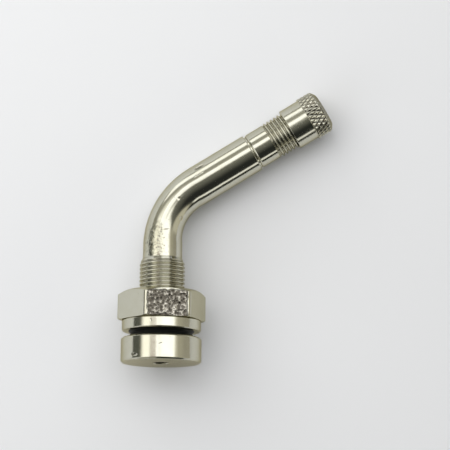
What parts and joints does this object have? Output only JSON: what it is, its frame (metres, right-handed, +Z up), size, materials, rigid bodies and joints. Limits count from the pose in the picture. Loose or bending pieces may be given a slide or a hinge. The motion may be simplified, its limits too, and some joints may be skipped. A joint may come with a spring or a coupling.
{
  "type": "tyre valve",
  "caption": "Angled clamp-in tyre valve: round base head, rubber seal, washer and hex nut on a bent plated stem, with a sprung core and a knurled screw cap.",
  "frame": {"origin": "on the surface that the loose valve lies on, under the middle of its bounding box", "axes": "+Z up from the surface, +Y along the stem from the base head towards the bend as seen from above, +X towards the side that the arm bends to"},
  "size_m": [0.0424, 0.0558, 0.0189],
  "materials": {
    "plated_brass": "bright nickel plate on turned brass",
    "seal_rubber": "moulded black rubber, matte",
    "bare_brass": "bare turned brass",
    "spring_steel": "drawn spring wire"
  },
  "bodies": {
    "stem": {"stem": "plated_brass", "rim_seal": "seal_rubber"},
    "washer": {"flat_washer": "plated_brass"},
    "nut": {"hex_nut": "plated_brass"},
    "cap_seal": {"cap_gasket": "seal_rubber"},
    "cap": {"valve_cap": "plated_brass"},
    "core": {"core_barrel": "bare_brass", "core_gasket": "seal_rubber", "core_spring": "spring_steel"},
    "core_screw": {"core_plug": "bare_brass"},
    "plunger": {"core_pin": "bare_brass", "core_cup": "bare_brass", "core_cup_seal": "seal_rubber"}
  },
  "joints": [
    {"name": "nut_lift", "type": "slide", "parent": "stem", "child": "washer", "axis": [0, 0.972, -0.235], "range_m": [0, 0.00675]},
    {"name": "nut_turn", "type": "hinge", "parent": "washer", "child": "nut", "pos_m": [-0.01233, -0.01797, 0.00918], "axis": [0, 0.972, -0.235], "range_deg": [0, 3060]},
    {"name": "cap_lift", "type": "slide", "parent": "stem", "child": "cap_seal", "axis": [0.8446, 0.535, 0.0213], "range_m": [0, 0.01349]},
    {"name": "cap_turn", "type": "hinge", "parent": "cap_seal", "child": "cap", "pos_m": [0.01773, 0.02353, 0.00451], "axis": [0.8446, 0.535, 0.0213], "range_deg": [0, 6120]},
    {"name": "core_lift", "type": "slide", "parent": "stem", "child": "core", "axis": [0.8446, 0.535, 0.0213], "range_m": [0, 0.000881]},
    {"name": "core_turn", "type": "hinge", "parent": "core", "child": "core_screw", "pos_m": [0.01596, 0.02241, 0.00447], "axis": [0.8446, 0.535, 0.0213], "range_deg": [0, 450]},
    {"name": "pin_press", "type": "slide", "parent": "core", "child": "plunger", "axis": [-0.8446, -0.535, -0.0213], "range_m": [0, 0.0012], "stiffness_N_per_m": 800, "springref_m": -0.001, "deforming": ["core_spring"]}
  ],
  "couplings": [
    {"joint": "nut_turn", "follows": "nut_lift", "rad_per_m": 7915.8},
    {"joint": "cap_turn", "follows": "cap_lift", "rad_per_m": 7915.8},
    {"joint": "core_turn", "follows": "core_lift", "rad_per_m": 8905.3}
  ]
}
